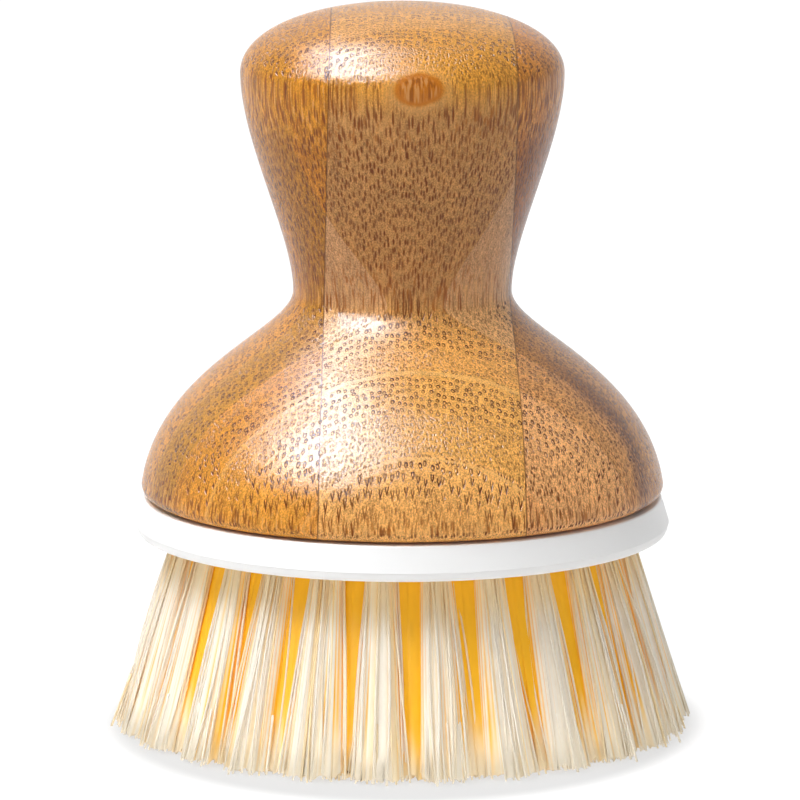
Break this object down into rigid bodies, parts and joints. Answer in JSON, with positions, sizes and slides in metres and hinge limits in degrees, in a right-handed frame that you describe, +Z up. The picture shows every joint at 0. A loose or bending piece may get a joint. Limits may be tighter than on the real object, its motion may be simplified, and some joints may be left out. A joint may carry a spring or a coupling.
{
  "type": "palm brush",
  "caption": "Round palm scrubbing brush: turned bamboo knob handle, white screw-on head plate and splayed rings of bristle tufts trimmed flat.",
  "frame": {"origin": "on the turned handle's axis, at the plane of the trimmed bristle tips that the brush stands on", "axes": "+Z up along the handle's axis, from the bristle tips to the crown of the knob; -Y towards the viewer of the picture; +X to the right"},
  "size_m": [0.0826, 0.0822, 0.1033],
  "materials": {
    "bamboo_left": "clear satin lacquer over bamboo",
    "bamboo_centre": "clear satin lacquer over bamboo",
    "bamboo_right": "clear satin lacquer over bamboo",
    "insert_brass": "machined",
    "plate_white": "smooth moulded",
    "bristle_cream": "straight fibres, cream",
    "bristle_gold": "straight fibres, golden"
  },
  "bodies": {
    "root": {"handle_left_block": "bamboo_left", "handle_centre_block": "bamboo_centre", "handle_right_block": "bamboo_right", "threaded_insert": "insert_brass", "head_plate": "plate_white", "centre_tuft": "bristle_gold", "outer_tuft_01": "bristle_cream", "outer_tuft_02": "bristle_cream", "outer_tuft_03": "bristle_cream", "outer_tuft_04": "bristle_cream", "outer_tuft_05": "bristle_cream", "outer_tuft_06": "bristle_cream", "outer_tuft_07": "bristle_cream", "outer_tuft_08": "bristle_cream", "outer_tuft_09": "bristle_cream", "outer_tuft_10": "bristle_cream", "outer_tuft_11": "bristle_cream", "outer_tuft_12": "bristle_cream", "outer_tuft_13": "bristle_cream", "outer_tuft_14": "bristle_cream", "outer_tuft_15": "bristle_cream", "outer_tuft_16": "bristle_cream", "outer_tuft_17": "bristle_cream", "outer_tuft_18": "bristle_cream", "outer_tuft_19": "bristle_cream", "outer_tuft_20": "bristle_cream", "outer_tuft_21": "bristle_cream", "outer_tuft_22": "bristle_cream", "outer_tuft_23": "bristle_cream", "outer_tuft_24": "bristle_cream", "outer_tuft_25": "bristle_cream", "outer_tuft_26": "bristle_cream", "middle_tuft_01": "bristle_gold", "middle_tuft_02": "bristle_gold", "middle_tuft_03": "bristle_gold", "middle_tuft_04": "bristle_gold", "middle_tuft_05": "bristle_gold", "middle_tuft_06": "bristle_gold", "middle_tuft_07": "bristle_gold", "middle_tuft_08": "bristle_gold", "middle_tuft_09": "bristle_gold", "middle_tuft_10": "bristle_gold", "middle_tuft_11": "bristle_gold", "middle_tuft_12": "bristle_gold", "middle_tuft_13": "bristle_gold", "middle_tuft_14": "bristle_gold", "inner_tuft_01": "bristle_gold", "inner_tuft_02": "bristle_gold", "inner_tuft_03": "bristle_gold", "inner_tuft_04": "bristle_gold", "inner_tuft_05": "bristle_gold", "inner_tuft_06": "bristle_gold", "inner_tuft_07": "bristle_gold", "inner_tuft_08": "bristle_gold", "inner_tuft_09": "bristle_gold", "core_tuft_01": "bristle_gold", "core_tuft_02": "bristle_gold", "core_tuft_03": "bristle_gold", "core_tuft_04": "bristle_gold", "core_tuft_05": "bristle_gold"}
  },
  "joints": []
}
